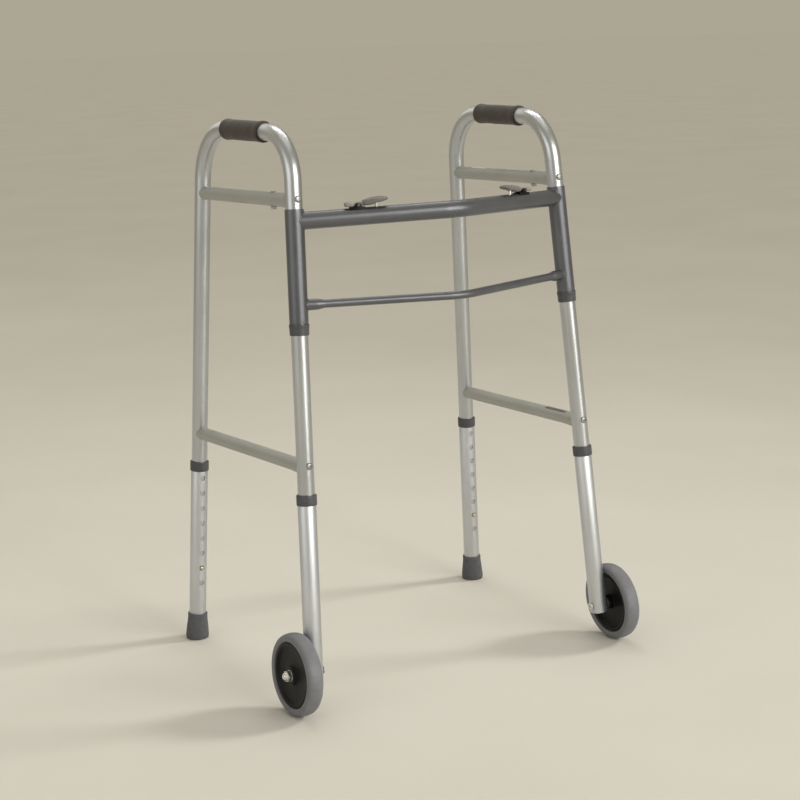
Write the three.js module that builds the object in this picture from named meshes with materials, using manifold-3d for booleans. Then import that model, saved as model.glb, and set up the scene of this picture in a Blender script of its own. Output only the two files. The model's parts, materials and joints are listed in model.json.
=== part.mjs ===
// Folding walking frame with two front wheels. Millimetres, +Z up, floor at z = 0.
// The user stands at the rear (+Y) and faces -Y; the user's right is -X and left is +X.
import * as THREE from "three";
import { mergeVertices } from "three/addons/utils/BufferGeometryUtils.js";
import Module from "manifold-3d";

const wasm = await Module();
wasm.setup();

// ---- driving dimensions ----
const GAP = 0.3; // between pieces that touch in use

// side frames: each is one flat bent tube, leaning in towards the top and toed out to the rear
const HANDLE_HEIGHT = 836; // axis of the handle tube above the floor
const LEVEL = 700; // height at which the leg positions below are given
const HALF_WIDTH = 233; // middle of the walking frame to a side frame, at LEVEL
const CAMBER = 0.048; // outward lean per unit of height going down
const TOE = 0.026; // outward run per unit of length going rearward
const FRONT_LEG_Y = -152.7;
const FRONT_RAKE = 0.09; // forward run of the front leg per unit going down
const REAR_LEG_Y = 149.4;
const REAR_RAKE = 0.05;
const FRONT_BEND = 73;
const REAR_BEND = 83.5;
const TUBE_R = 12.5;
const TUBE_BORE = 11.2;
const FRONT_TUBE_END = 100; // heights of the open lower ends of the bent tube
const REAR_TUBE_END = 84;
const GRIP_R = 16;
const GRIP_HALF = 59;

// side braces
const BRACE_R = 10.2;
const BRACE_BORE = 8.9;
const BRACE_FLARE = 11.5; // widened end at the front leg
const UPPER_BRACE = { front: 742, rear: 735 }; // heights at the two legs
const LOWER_BRACE = { front: 361, rear: 349 };
const DOWEL_BACK = 60; // cross dowel behind the front leg's axis
const SCREW_UP = 3; // brace screws above the brace's axis

// telescopic leg extensions
const EXT_R = 13.6;
const EXT_BORE = 12.8;
const EXT_TOP = { front: 319, rear: 300 };
const EXT_END = { front: 49, rear: 7 };
const HOLE_PITCH = 25.4;
const HOLE_COUNT = 8;
const FIRST_HOLE = 24.6; // below the top of the extension
const BUTTON_HOLE = 6; // holes above the one the button sits in
const HOLE_R = 4.15;
const BUTTON_R = 3.3;
const COLLAR_R = 15.1;
const COLLAR_HEIGHT = 15.2;
const COLLAR_LIP = 1.7; // part of the collar above the extension

// front brace
const SLEEVE_R = 13.9;
const SLEEVE_BORE = 12.85;
const SLEEVE_TOP = 730.1;
const SLEEVE_END = 567.4;
const BUSH_END = 551;
const BUSH_R = 14.8;
const BAR_R = 12.7;
const BAR_BORE = 11.3;
const UPPER_BAR_Z = 713;
const UPPER_BAR_RISE = 6; // middle above the ends
const BAR_BOW = 77; // middle ahead of the ends
const LOWER_BAR_Z = 594;
const ROD_R = 6;
const ROD_FLARE = 8.4;
const MIDDLE_BEND = 70;

// release levers, as distances along the upper bar from the sleeve's axis and above the bar's axis
const PIVOT_AT = 92.5;
const PIVOT_UP = 17.4;
const PLUNGER_AT = 119.5;
const PLUNGER_R = 2.3;
const LOCK_R = 4.8;
const LOCK_ROD_R = 2.8;
const LOCK_GUIDE_R = 10.4;
const LOCK_NOSE = 13;
const LOCK_TAIL = 128;

// wheels
const WHEEL_R = 61.2;
const TREAD_HALF = 7;
const TYRE_HALF = 12.5;
const HUB_R = 49.5;
const WHEEL_OUT = 28.2; // wheel's middle plane outward of the leg's axis
const AXLE_R = 4;

// rubber tips
const TIP_TOP = 43;
const TIP_R = 18.9;

// ---- small helpers ----
const V = (x, y, z) => new THREE.Vector3(x, y, z);
const UP = V(0, 1, 0); // axis of three.js cylinders and lathes

function solid(geometry) {
  const plain = new THREE.BufferGeometry();
  const source = geometry.index ? geometry.toNonIndexed() : geometry;
  plain.setAttribute("position", source.getAttribute("position"));
  const merged = mergeVertices(plain, 1e-4);
  const body = new wasm.Manifold(
    new wasm.Mesh({
      numProp: 3,
      vertProperties: new Float32Array(merged.attributes.position.array),
      triVerts: new Uint32Array(merged.index.array),
    }),
  );
  return body;
}

// the geometry's own Y axis is laid along `direction`, with its origin at `origin`
function place(geometry, origin, direction) {
  const turn = new THREE.Quaternion().setFromUnitVectors(UP, direction.clone().normalize());
  geometry.applyQuaternion(turn);
  geometry.translate(origin.x, origin.y, origin.z);
  return solid(geometry);
}

function rod(a, b, radius, sides = 16) {
  const run = b.clone().sub(a);
  const middle = a.clone().add(b).multiplyScalar(0.5);
  return place(new THREE.CylinderGeometry(radius, radius, run.length(), sides), middle, run);
}

// rod that runs past both points
function drill(a, b, radius, sides = 18, past = 30) {
  const step = b.clone().sub(a).normalize().multiplyScalar(past);
  return rod(a.clone().sub(step), b.clone().add(step), radius, sides);
}

function pipe(a, b, outer, bore, sides = 16) {
  return rod(a, b, outer, sides).subtract(drill(a, b, bore, sides));
}

// turned piece: profile is [radius, along] pairs in order round a closed outline
function turned(profile, origin, direction, sides = 16) {
  const outline = profile.map(([r, y]) => new THREE.Vector2(r, y));
  const area = outline.reduce((sum, p, i) => {
    const q = outline[(i + 1) % outline.length];
    return sum + p.x * q.y - q.x * p.y;
  }, 0);
  if (area < 0) outline.reverse();
  outline.push(outline[0].clone());
  return place(new THREE.LatheGeometry(outline, sides), origin, direction);
}

// turned piece whose profile starts and ends on its own axis
function turnedSolid(profile, origin, direction, sides = 12) {
  const outline = profile.map(([r, y]) => new THREE.Vector2(r, y));
  if (outline[0].y > outline[outline.length - 1].y) outline.reverse();
  return place(new THREE.LatheGeometry(outline, sides), origin, direction);
}

function circle(PathType, radius, sides) {
  const points = [];
  for (let i = 0; i < sides; i++) {
    const turn = (2 * Math.PI * i) / sides;
    points.push(new THREE.Vector2(radius * Math.cos(turn), radius * Math.sin(turn)));
  }
  return new PathType(points);
}

// a centre line given by its stations, so that a straight run needs only its two ends
class StationPath extends THREE.Curve {
  constructor(stations) {
    super();
    this.stations = stations;
  }
  at(t) {
    return this.stations[Math.round(t * (this.stations.length - 1))];
  }
  getPoint(t, target = V()) {
    return target.copy(this.at(t).point);
  }
  getPointAt(t, target) {
    return this.getPoint(t, target);
  }
  getTangentAt(t, target = V()) {
    return target.copy(this.at(t).tangent);
  }
  getSpacedPoints() {
    return this.stations.map((s) => s.point.clone());
  }
}

function sweptTube(stations, outer, bore, sides, boreSides) {
  const section = circle(THREE.Shape, outer, sides);
  if (bore) section.holes.push(circle(THREE.Path, bore, boreSides));
  const geometry = new THREE.ExtrudeGeometry(section, {
    steps: stations.length - 1,
    bevelEnabled: false,
    extrudePath: new StationPath(stations),
  });
  return solid(geometry);
}

// stations of a path through `corners`, each inner corner rounded to its radius
function roundedPath(corners, radii, segments) {
  const stations = [];
  const toward = (from, to) => to.clone().sub(from).normalize();
  stations.push({ point: corners[0], tangent: toward(corners[0], corners[1]) });
  for (let i = 1; i < corners.length - 1; i++) {
    const before = toward(corners[i - 1], corners[i]);
    const after = toward(corners[i], corners[i + 1]);
    const turn = before.angleTo(after);
    const radius = radii[i - 1];
    const start = corners[i].clone().addScaledVector(before, -radius * Math.tan(turn / 2));
    const inward = after.clone().addScaledVector(before, -after.dot(before)).normalize();
    for (let k = 0; k <= segments; k++) {
      const angle = (turn * k) / segments;
      const point = start.clone();
      point.addScaledVector(before, radius * Math.sin(angle));
      point.addScaledVector(inward, radius * (1 - Math.cos(angle)));
      const tangent = before.clone().multiplyScalar(Math.cos(angle));
      tangent.addScaledVector(inward, Math.sin(angle));
      stations.push({ point, tangent });
    }
  }
  const last = corners.length - 1;
  stations.push({ point: corners[last], tangent: toward(corners[last - 1], corners[last]) });
  return stations;
}

// side-on outline pushed out to both sides of a plane: along and up are unit vectors
function slab(outline, origin, along, up, halfWidth) {
  const across = along.clone().cross(up);
  const geometry = new THREE.ExtrudeGeometry(outline, {
    depth: 2 * halfWidth,
    bevelEnabled: false,
    curveSegments: 4,
  });
  geometry.translate(0, 0, -halfWidth);
  geometry.applyMatrix4(new THREE.Matrix4().makeBasis(along, up, across).setPosition(origin));
  return solid(geometry);
}

// ---- materials ----
const paint = (colour, roughness, metalness) =>
  new THREE.MeshStandardMaterial({ color: colour, roughness, metalness });
const aluminium = paint(0xb9bcbd, 0.32, 0.9);
const matteAluminium = paint(0xa5a29a, 0.6, 0.6);
const darkPaint = paint(0x55575b, 0.4, 0.3);
const darkPlastic = paint(0x45464a, 0.6, 0);
const rubber = paint(0x4e4f54, 0.85, 0);
const tyreRubber = paint(0x6d6a74, 0.8, 0);
const hubPlastic = paint(0x232326, 0.5, 0);
const gripVinyl = paint(0x4a423d, 0.75, 0);
const steel = paint(0xc4c4c0, 0.3, 1);
const leverPlastic = paint(0x6c6760, 0.5, 0.2);

const walker = new THREE.Group();
walker.name = "walking_frame";

function add(name, body, material) {
  const data = body.getMesh();
  const geometry = new THREE.BufferGeometry();
  const points = new Float32Array(data.numVert * 3);
  for (let i = 0; i < data.numVert; i++) {
    points.set(data.vertProperties.subarray(i * data.numProp, i * data.numProp + 3), 3 * i);
  }
  geometry.setAttribute("position", new THREE.BufferAttribute(points, 3));
  geometry.setIndex(new THREE.BufferAttribute(new Uint32Array(data.triVerts), 1));
  geometry.computeVertexNormals();
  const mesh = new THREE.Mesh(geometry, material.clone());
  mesh.name = name;
  walker.add(mesh);
}

// ---- places on a side frame; s is -1 for the right frame and +1 for the left ----
const onFrame = (s, y, z) => V(s * (HALF_WIDTH + CAMBER * (LEVEL - z) + TOE * y), y, z);
const legY = {
  front: (z) => FRONT_LEG_Y - FRONT_RAKE * (LEVEL - z),
  rear: (z) => REAR_LEG_Y + REAR_RAKE * (LEVEL - z),
};
const onLeg = (s, leg, z) => onFrame(s, legY[leg](z), z);
const legUp = (s, leg) => onLeg(s, leg, LEVEL).sub(onLeg(s, leg, 0)).normalize();
const outwardOf = (s) => V(s, -TOE, CAMBER).normalize(); // square to the side frame's plane
// from a leg towards the other leg of its frame, square to the leg
function inwardOf(s, leg) {
  const towards = legUp(s, leg).cross(outwardOf(s)).normalize();
  const want = leg === "front" ? 1 : -1;
  return towards.multiplyScalar(Math.sign(towards.y) * want);
}
const legDrill = (s, leg, radius, sides = 16) =>
  drill(onLeg(s, leg, 0), onLeg(s, leg, HANDLE_HEIGHT), radius, sides);

function buttonPoint(s, leg) {
  const down = FIRST_HOLE + BUTTON_HOLE * HOLE_PITCH;
  return onLeg(s, leg, EXT_TOP[leg]).addScaledVector(legUp(s, leg), -down);
}

// the straight half of a cross bar, from the sleeve's axis to the middle of the bar
function barFrame(s, z, rise) {
  const start = onLeg(s, "front", z);
  const middle = V(0, start.y - BAR_BOW, z + rise);
  const along = middle.clone().sub(start).normalize();
  const across = V(0, 0, 1).cross(along).normalize();
  const up = along.clone().cross(across);
  const at = (u, w = 0, v = 0) =>
    start.clone().addScaledVector(along, u).addScaledVector(up, w).addScaledVector(across, v);
  return { start, middle, along, across, up, at };
}

// ---- front brace: two bowed cross bars between two hinge sleeves ----
function crossBar(z, rise, radius, bore, sides, boreSides) {
  const corners = [onLeg(-1, "front", z), barFrame(1, z, rise).middle, onLeg(1, "front", z)];
  return sweptTube(roundedPath(corners, [MIDDLE_BEND], 4), radius, bore, sides, boreSides);
}

function buildFrontBrace() {
  let upper = crossBar(UPPER_BAR_Z, UPPER_BAR_RISE, BAR_R, BAR_BORE, 16, 12);
  let lower = crossBar(LOWER_BAR_Z, 0, ROD_R, 0, 12, 0);
  for (const s of [-1, 1]) {
    const sleeveCut = legDrill(s, "front", SLEEVE_R + GAP, 20);
    const bar = barFrame(s, UPPER_BAR_Z, UPPER_BAR_RISE);
    const plungerHole = rod(bar.at(PLUNGER_AT, 5), bar.at(PLUNGER_AT, 20), PLUNGER_R + 0.6, 12);
    upper = upper.subtract(sleeveCut).subtract(plungerHole);
    const flare = barFrame(s, LOWER_BAR_Z, 0);
    const cone = [[0, 6], [ROD_FLARE, 6], [ROD_FLARE - 0.3, 30], [ROD_R, 37], [0, 37]];
    lower = lower.add(turnedSolid(cone, flare.start, flare.along)).subtract(sleeveCut);
  }
  add("upper_crossbar", upper, darkPaint);
  add("lower_crossbar", lower, darkPaint);

  for (const [s, name] of [[-1, "right"], [1, "left"]]) {
    const bar = barFrame(s, UPPER_BAR_Z, UPPER_BAR_RISE);
    const sleeve = pipe(
      onLeg(s, "front", SLEEVE_END), onLeg(s, "front", SLEEVE_TOP), SLEEVE_R, SLEEVE_BORE, 20,
    ).subtract(rod(bar.at(5), bar.at(30), LOCK_R + 0.4, 12));
    add(`${name}_hinge_sleeve`, sleeve, darkPaint);

    const bushLength = SLEEVE_END - GAP - BUSH_END;
    const bushing = turned(
      [
        [SLEEVE_BORE, 0], [BUSH_R - 1.2, 0], [BUSH_R - 0.2, 1.4],
        [BUSH_R - 0.2, bushLength - 4.4], [BUSH_R, bushLength - 3.6],
        [BUSH_R, bushLength], [SLEEVE_BORE, bushLength],
      ],
      onLeg(s, "front", BUSH_END), legUp(s, "front"), 20,
    );
    add(`${name}_sleeve_bushing`, bushing, darkPlastic);
    buildRelease(s, name, bar);
  }
}

// ---- release lever on the upper bar, with the lock bolt inside the bar ----
function buildRelease(s, name, bar) {
  const barCut = drill(bar.at(0), bar.at(180), BAR_R + GAP);

  // saddle with two ears that carry the lever's pin
  const base = new THREE.Shape();
  base.moveTo(-12, 5).lineTo(11, 5).lineTo(11, 13.4).lineTo(5, 14).lineTo(4, 20.2);
  base.lineTo(-4, 20.2).lineTo(-4.8, 14.2).lineTo(-12, 13.9).closePath();
  const slot = new THREE.Shape();
  slot.moveTo(-15, 14.4).lineTo(15, 14.4).lineTo(15, 24).lineTo(-15, 24).closePath();
  const pinHole = rod(bar.at(PIVOT_AT, PIVOT_UP, -12), bar.at(PIVOT_AT, PIVOT_UP, 12), 1.9, 12);
  const bracket = slab(base, bar.at(PIVOT_AT), bar.along, bar.up, 7.5)
    .subtract(slab(slot, bar.at(PIVOT_AT), bar.along, bar.up, 5))
    .subtract(barCut)
    .subtract(pinHole);
  add(`${name}_lever_bracket`, bracket, darkPlastic);

  const pin = [[0, -8.6], [2.4, -8.6], [2.4, -7.8], [1.6, -7.8], [1.6, 8.6], [0, 8.6]];
  const pinAt = bar.at(PIVOT_AT, PIVOT_UP);
  add(`${name}_lever_pin`, turnedSolid(pin, pinAt, bar.across, 12), steel);

  // thumb lever: a heel outside the ears, a narrow neck between them and a raised pad over the plunger
  const side = new THREE.Shape();
  side.moveTo(-18, 14.9);
  side.quadraticCurveTo(-19.5, 18, -17.5, 20.9);
  side.quadraticCurveTo(-8, 21.6, 2, 21.2);
  side.quadraticCurveTo(10, 21.4, 18, 24);
  side.quadraticCurveTo(30, 27.6, 40.5, 25.2);
  side.quadraticCurveTo(43.8, 23.9, 41.4, 21.9);
  side.quadraticCurveTo(36, 19.8, 28, 18.6);
  side.quadraticCurveTo(20, 15.4, 11.6, 15.2);
  side.lineTo(3.4, 15.2).lineTo(-3.4, 14.9).closePath();
  const plan = new THREE.Shape();
  plan.moveTo(-16, -7).lineTo(-6.2, -7.4).lineTo(-6.2, -4.4).lineTo(6.5, -4.4);
  plan.quadraticCurveTo(14, -9, 24, -9.5).quadraticCurveTo(43, -10, 43.3, 0);
  plan.quadraticCurveTo(43, 10, 24, 9.5).quadraticCurveTo(14, 9, 6.5, 4.4);
  plan.lineTo(-6.2, 4.4).lineTo(-6.2, 7.4).lineTo(-16, 7).quadraticCurveTo(-20.5, 0, -16, -7);
  const planSlab = slab(plan, bar.at(PIVOT_AT, 22), bar.along, bar.across, 12);
  const postPocket = rod(bar.at(PLUNGER_AT, 10), bar.at(PLUNGER_AT, 20.1), 4.8, 12);
  const paddle = slab(side, bar.at(PIVOT_AT), bar.along, bar.up, 14)
    .intersect(planSlab)
    .subtract(pinHole)
    .subtract(postPocket);
  add(`${name}_release_lever`, paddle, leverPlastic);

  // the plunger's slanted foot pushes the lock bolt's ramp towards the middle of the bar
  const foot = new THREE.Shape();
  foot.moveTo(-20, 3 - (20 - PLUNGER_R)).lineTo(20, 3 + 20 + PLUNGER_R).lineTo(20, -30);
  foot.lineTo(-20, -30).closePath();
  const plunger = turnedSolid(
    [[0, 0], [PLUNGER_R, 0], [PLUNGER_R, 14.6], [3.3, 14.6], [3.3, 15.7], [1.6, 16.6], [0, 16.6]],
    bar.at(PLUNGER_AT, 2.6), bar.up, 12,
  ).subtract(slab(foot, bar.at(PLUNGER_AT), bar.along, bar.up, 8));
  add(`${name}_plunger`, plunger, steel);

  const ramp = new THREE.Shape();
  ramp.moveTo(110, 9).lineTo(110, -1.6).lineTo(113.15, -1.6).lineTo(123.75, 9).closePath();
  const bolt = turnedSolid(
    [
      [0, LOCK_NOSE], [LOCK_R - 1, LOCK_NOSE], [LOCK_R, LOCK_NOSE + 1], [LOCK_R, 30],
      [LOCK_GUIDE_R, 30], [LOCK_GUIDE_R, 32.4], [LOCK_ROD_R, 32.4], [LOCK_ROD_R, 103],
      [LOCK_GUIDE_R, 103], [LOCK_GUIDE_R, 105.4], [LOCK_R, 105.4], [LOCK_R, LOCK_TAIL],
      [0, LOCK_TAIL],
    ],
    bar.start, bar.along, 16,
  ).subtract(slab(ramp, bar.start, bar.along, bar.up, 8));
  add(`${name}_lock_bolt`, bolt, steel);
}

// ---- side frame: bent tube, grip, braces and their fasteners ----
function braceAxes(s, heights) {
  const front = onLeg(s, "front", heights.front);
  const rear = onLeg(s, "rear", heights.rear);
  const run = rear.clone().sub(front).normalize();
  const up = outwardOf(s).cross(run).normalize();
  up.multiplyScalar(Math.sign(up.z));
  return { front, rear, run, up };
}

function bentTube(s) {
  const corners = [
    onLeg(s, "rear", REAR_TUBE_END),
    onLeg(s, "rear", HANDLE_HEIGHT),
    onLeg(s, "front", HANDLE_HEIGHT),
    onLeg(s, "front", FRONT_TUBE_END),
  ];
  let tube = sweptTube(roundedPath(corners, [REAR_BEND, FRONT_BEND], 6), TUBE_R, TUBE_BORE, 16, 10);
  for (const leg of ["front", "rear"]) {
    const at = buttonPoint(s, leg);
    const out = at.clone().addScaledVector(inwardOf(s, leg), 20);
    tube = tube.subtract(rod(at, out, HOLE_R, 6));
    for (const heights of [UPPER_BRACE, LOWER_BRACE]) {
      const brace = braceAxes(s, heights);
      const seat = brace[leg].clone().addScaledVector(brace.up, SCREW_UP);
      const a = seat.clone().addScaledVector(brace.run, -20);
      const b = seat.clone().addScaledVector(brace.run, 20);
      tube = tube.subtract(rod(a, b, 2.9, 6));
    }
  }
  return tube;
}

function buildBrace(s, name, level, heights) {
  const { front, rear, run, up } = braceAxes(s, heights);
  const dowelAt = front.clone().addScaledVector(run, DOWEL_BACK);
  const through = level === "upper"; // the lower dowel lies inside its brace
  const length = front.distanceTo(rear);
  const profile = [
    [BRACE_BORE, 0], [BRACE_FLARE, 0], [BRACE_FLARE, 14], [BRACE_R, 34], [BRACE_R, length],
    [BRACE_BORE, length],
  ];
  let brace = turned(profile, front, run, 14)
    .subtract(legDrill(s, "front", TUBE_R + GAP))
    .subtract(legDrill(s, "rear", TUBE_R + GAP));
  if (through) {
    const a = dowelAt.clone().addScaledVector(up, -BRACE_R - 8);
    const b = dowelAt.clone().addScaledVector(up, BRACE_R + 8);
    brace = brace.subtract(rod(a, b, 3.6, 8));
  }
  add(`${name}_${level}_brace`, brace, matteAluminium);

  // long screw through the front leg, into a cross dowel in the brace
  const head = [[0, -TUBE_R - 2.6], [3.8, -TUBE_R - 2.5], [5.1, -TUBE_R - 1.6], [5.1, -TUBE_R - 0.6]];
  const longScrew = [...head, [2.2, -TUBE_R - 0.6], [2.2, DOWEL_BACK - 1], [0, DOWEL_BACK - 1]];
  const frontSeat = front.clone().addScaledVector(up, SCREW_UP);
  add(`${name}_${level}_front_screw`, turnedSolid(longScrew, frontSeat, run, 10), steel);
  const outside = BRACE_R + GAP;
  const dowelProfile = through
    ? [
        [0, -outside - 4.2], [3.6, -outside - 4.2], [5, -outside - 3], [5, -outside],
        [3, -outside], [3, outside], [4.8, outside], [4.8, outside + 1], [3.8, outside + 1.4],
        [0, outside + 1.4],
      ]
    : [[0, -7.9], [3.4, -7.9], [3.4, 7.9], [0, 7.9]];
  const shankEnd = dowelAt.clone().addScaledVector(up, SCREW_UP).addScaledVector(run, 1);
  const dowel = turnedSolid(dowelProfile, dowelAt, up, 10).subtract(rod(frontSeat, shankEnd, 2.7, 6));
  add(`${name}_${level}_cross_dowel`, dowel, steel);
  const back = run.clone().negate();
  const rearSeat = rear.clone().addScaledVector(up, SCREW_UP);
  const shortScrew = [...head, [2.2, -TUBE_R - 0.6], [2.2, 26], [1.2, 28], [0, 28]];
  add(`${name}_${level}_rear_screw`, turnedSolid(shortScrew, rearSeat, back, 10), steel);
}

function buildSideFrame(s, name) {
  add(`${name}_side_tube`, bentTube(s), aluminium);
  const bore = TUBE_R + 0.5;
  const grip = turned(
    [
      [bore, -GRIP_HALF], [GRIP_R - 1.6, -GRIP_HALF], [GRIP_R - 0.3, -GRIP_HALF + 2],
      [GRIP_R, -GRIP_HALF + 8], [GRIP_R, GRIP_HALF - 8], [GRIP_R - 0.3, GRIP_HALF - 2],
      [GRIP_R - 1.6, GRIP_HALF], [bore, GRIP_HALF],
    ],
    onFrame(s, 0, HANDLE_HEIGHT), onFrame(s, 1, 0).sub(onFrame(s, 0, 0)),
  );
  add(`${name}_hand_grip`, grip, gripVinyl);
  buildBrace(s, name, "upper", UPPER_BRACE);
  buildBrace(s, name, "lower", LOWER_BRACE);
  for (const leg of ["front", "rear"]) buildLeg(s, name, leg);
  buildTip(s, name);
  buildWheel(s, name);
}

// ---- telescopic leg: extension, collar and snap button ----
function buildLeg(s, name, leg) {
  const up = legUp(s, leg);
  const inward = inwardOf(s, leg);
  const top = onLeg(s, leg, EXT_TOP[leg]);
  let extension = pipe(onLeg(s, leg, EXT_END[leg]), top, EXT_R, EXT_BORE);
  for (let i = 0; i < HOLE_COUNT; i++) {
    const at = top.clone().addScaledVector(up, -(FIRST_HOLE + i * HOLE_PITCH));
    extension = extension.subtract(rod(at, at.clone().addScaledVector(inward, 20), HOLE_R, 6));
  }
  if (leg === "front") {
    const axle = axlePoint(s);
    extension = extension.subtract(drill(axle, axle.clone().add(outwardOf(s)), AXLE_R + 0.4, 12));
  }
  add(`${name}_${leg}_leg_extension`, extension, aluminium);

  const foot = COLLAR_LIP - COLLAR_HEIGHT;
  const seat = EXT_R + 0.5;
  const collar = turned(
    [
      [seat, foot], [COLLAR_R - 0.5, foot], [COLLAR_R, foot + 0.8], [COLLAR_R, COLLAR_LIP - 0.9],
      [COLLAR_R - 0.8, COLLAR_LIP], [TUBE_R + 0.5, COLLAR_LIP], [TUBE_R + 0.5, GAP], [seat, GAP],
    ],
    top, up,
  );
  add(`${name}_${leg}_collar`, collar, darkPlastic);

  // stud on a leaf spring that bends back to the middle of the tube
  const at = buttonPoint(s, leg);
  const stud = turnedSolid(
    [[0, 8.6], [BUTTON_R, 8.6], [BUTTON_R, 14.2], [2.4, 15.4], [0, 15.9]], at, inward, 12,
  );
  const leaf = new THREE.Shape();
  leaf.moveTo(5, 9.5).lineTo(-4.2, 9.5).lineTo(-17, 1).lineTo(-16.4, 0.4);
  leaf.lineTo(-3.9, 8.7).lineTo(5, 8.7).closePath();
  const button = stud.add(slab(leaf, at, up, inward, 3));
  add(`${name}_${leg}_snap_button`, button, steel);
}

function buildTip(s, name) {
  const axisAt = onLeg(s, "rear", 0);
  const seat = EXT_R + 0.5;
  const tip = turnedSolid(
    [
      [0, 6.2], [seat, 6.2], [seat, TIP_TOP], [15.8, TIP_TOP], [TIP_R - 0.8, 14],
      [TIP_R, 3], [TIP_R - 1.6, -4], [0, -4],
    ],
    axisAt, legUp(s, "rear"), 20,
  );
  const floor = solid(new THREE.BoxGeometry(120, 120, 40).translate(axisAt.x, axisAt.y, -20));
  add(`${name}_rear_tip`, tip.subtract(floor), rubber);
}

// ---- wheel on the outer side of the front leg, square to the side frame ----
function axlePoint(s) {
  const out = outwardOf(s);
  const lean = Math.asin(Math.abs(out.z)); // of the wheel's plane, from upright
  const height = WHEEL_R * Math.cos(lean) + TREAD_HALF * Math.sin(lean);
  return onLeg(s, "front", height - WHEEL_OUT * out.z);
}

function buildWheel(s, name) {
  const out = outwardOf(s);
  const axle = axlePoint(s);
  const centre = axle.clone().addScaledVector(out, WHEEL_OUT);
  const rim = HUB_R - 1.4;
  const tyre = turned(
    [
      [rim + 0.6, -8], [HUB_R + GAP, -TYRE_HALF + 1], [WHEEL_R - 6, -TYRE_HALF],
      [WHEEL_R, -TREAD_HALF], [WHEEL_R, TREAD_HALF], [WHEEL_R - 6, TYRE_HALF],
      [HUB_R + GAP, TYRE_HALF - 1], [rim + 0.6, 8],
    ],
    centre, out, 36,
  );
  add(`${name}_tyre`, tyre, tyreRubber);

  const hub = turned(
    [
      [AXLE_R + 0.4, -11.6], [11, -11.6], [11, -4], [41, -4], [43, -10.4], [HUB_R - 0.8, -10.4],
      [rim, -7.4], [rim, 7.4], [HUB_R - 0.8, 10.4], [43, 10.4], [39, 7], [13, 7], [12, 11],
      [AXLE_R + 0.4, 11],
    ],
    centre, out, 28,
  );
  add(`${name}_wheel_hub`, hub, hubPlastic);

  const inner = -EXT_R - 0.8; // inner side of the leg, measured along the axle from the leg's axis
  const end = WHEEL_OUT + 11 + 1.8;
  const bolt = turnedSolid(
    [
      [0, inner - 2.6], [5, inner - 2.4], [6.4, inner - 1.2], [6.4, inner], [AXLE_R, inner],
      [AXLE_R, end + 6], [0, end + 6],
    ],
    axle, out, 12,
  );
  add(`${name}_axle_bolt`, bolt, steel);
  const spacer = turned(
    [
      [AXLE_R + 0.4, EXT_R + GAP], [9, EXT_R + GAP],
      [9, WHEEL_OUT - 11.6 - GAP], [AXLE_R + 0.4, WHEEL_OUT - 11.6 - GAP],
    ],
    axle, out, 16,
  );
  add(`${name}_axle_spacer`, spacer, steel);
  const nut = turned(
    [
      [AXLE_R + 0.3, end - 1.5], [8.6, end - 1.5], [8.6, end - 0.2], [7.4, end],
      [7.2, end + 5.6], [5.6, end + 8.6], [2.4, end + 10.4], [0, end + 10.8],
      [0, end + 6.4], [AXLE_R + 0.3, end + 6.4],
    ],
    axle, out, 12,
  );
  add(`${name}_cap_nut`, nut, steel);
}

buildFrontBrace();
buildSideFrame(-1, "right");
buildSideFrame(1, "left");

// the origin is the middle of the footprint, on the floor
const bounds = new THREE.Box3().setFromObject(walker);
const middle = bounds.getCenter(V());
for (const mesh of walker.children) mesh.geometry.translate(-middle.x, -middle.y, -bounds.min.z);

export default walker;
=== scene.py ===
"""Looks of the folding walking frame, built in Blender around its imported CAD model."""
import json
import math

import bmesh
import bpy
import numpy as np
from mathutils import Matrix, Vector, noise


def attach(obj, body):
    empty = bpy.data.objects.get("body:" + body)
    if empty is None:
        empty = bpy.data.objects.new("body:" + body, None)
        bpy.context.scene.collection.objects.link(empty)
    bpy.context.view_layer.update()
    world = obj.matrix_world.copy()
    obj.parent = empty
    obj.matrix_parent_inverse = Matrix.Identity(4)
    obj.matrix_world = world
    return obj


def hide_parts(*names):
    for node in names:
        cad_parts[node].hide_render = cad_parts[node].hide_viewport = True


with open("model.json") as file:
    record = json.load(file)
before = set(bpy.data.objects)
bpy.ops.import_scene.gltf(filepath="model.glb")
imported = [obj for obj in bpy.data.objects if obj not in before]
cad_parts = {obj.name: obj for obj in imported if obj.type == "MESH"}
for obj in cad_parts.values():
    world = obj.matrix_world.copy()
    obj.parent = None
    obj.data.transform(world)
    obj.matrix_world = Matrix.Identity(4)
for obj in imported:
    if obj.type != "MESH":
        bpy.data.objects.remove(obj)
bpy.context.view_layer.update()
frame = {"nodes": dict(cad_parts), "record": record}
record = frame["record"]
body_of = {n: body for body, nodes in record["behaviour"]["bodies"].items() for n in nodes}
slot_of = {part["node"]: part["material_slot"] for part in record["subparts"]}

# ---- sizes of the CAD model, in millimetres ----
MM = 0.001
HANDLE_HEIGHT, LEVEL, HALF_WIDTH = 836, 700, 233
CAMBER, TOE = 0.048, 0.026
LEG_Y = {"front": -152.7, "rear": 149.4}
RAKE = {"front": -0.09, "rear": 0.05}
FRONT_BEND, REAR_BEND = 73, 83.5
TUBE_R, TUBE_BORE = 12.5, 11.2
TUBE_END = {"front": 100, "rear": 84}
GRIP_R, GRIP_HALF = 16, 59
BRACE_R, BRACE_BORE, BRACE_FLARE = 10.2, 8.9, 11.5
BRACES = {"upper": {"front": 742, "rear": 735}, "lower": {"front": 361, "rear": 349}}
DOWEL_BACK, SCREW_UP = 60, 3
EXT_R, EXT_BORE = 13.6, 12.8
EXT_TOP = {"front": 319, "rear": 300}
EXT_END = {"front": 49, "rear": 7}
HOLE_PITCH, HOLE_COUNT, FIRST_HOLE, BUTTON_HOLE, HOLE_R = 25.4, 8, 24.6, 6, 4.15
COLLAR_R, COLLAR_HEIGHT, COLLAR_LIP = 15.1, 15.2, 1.7
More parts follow.
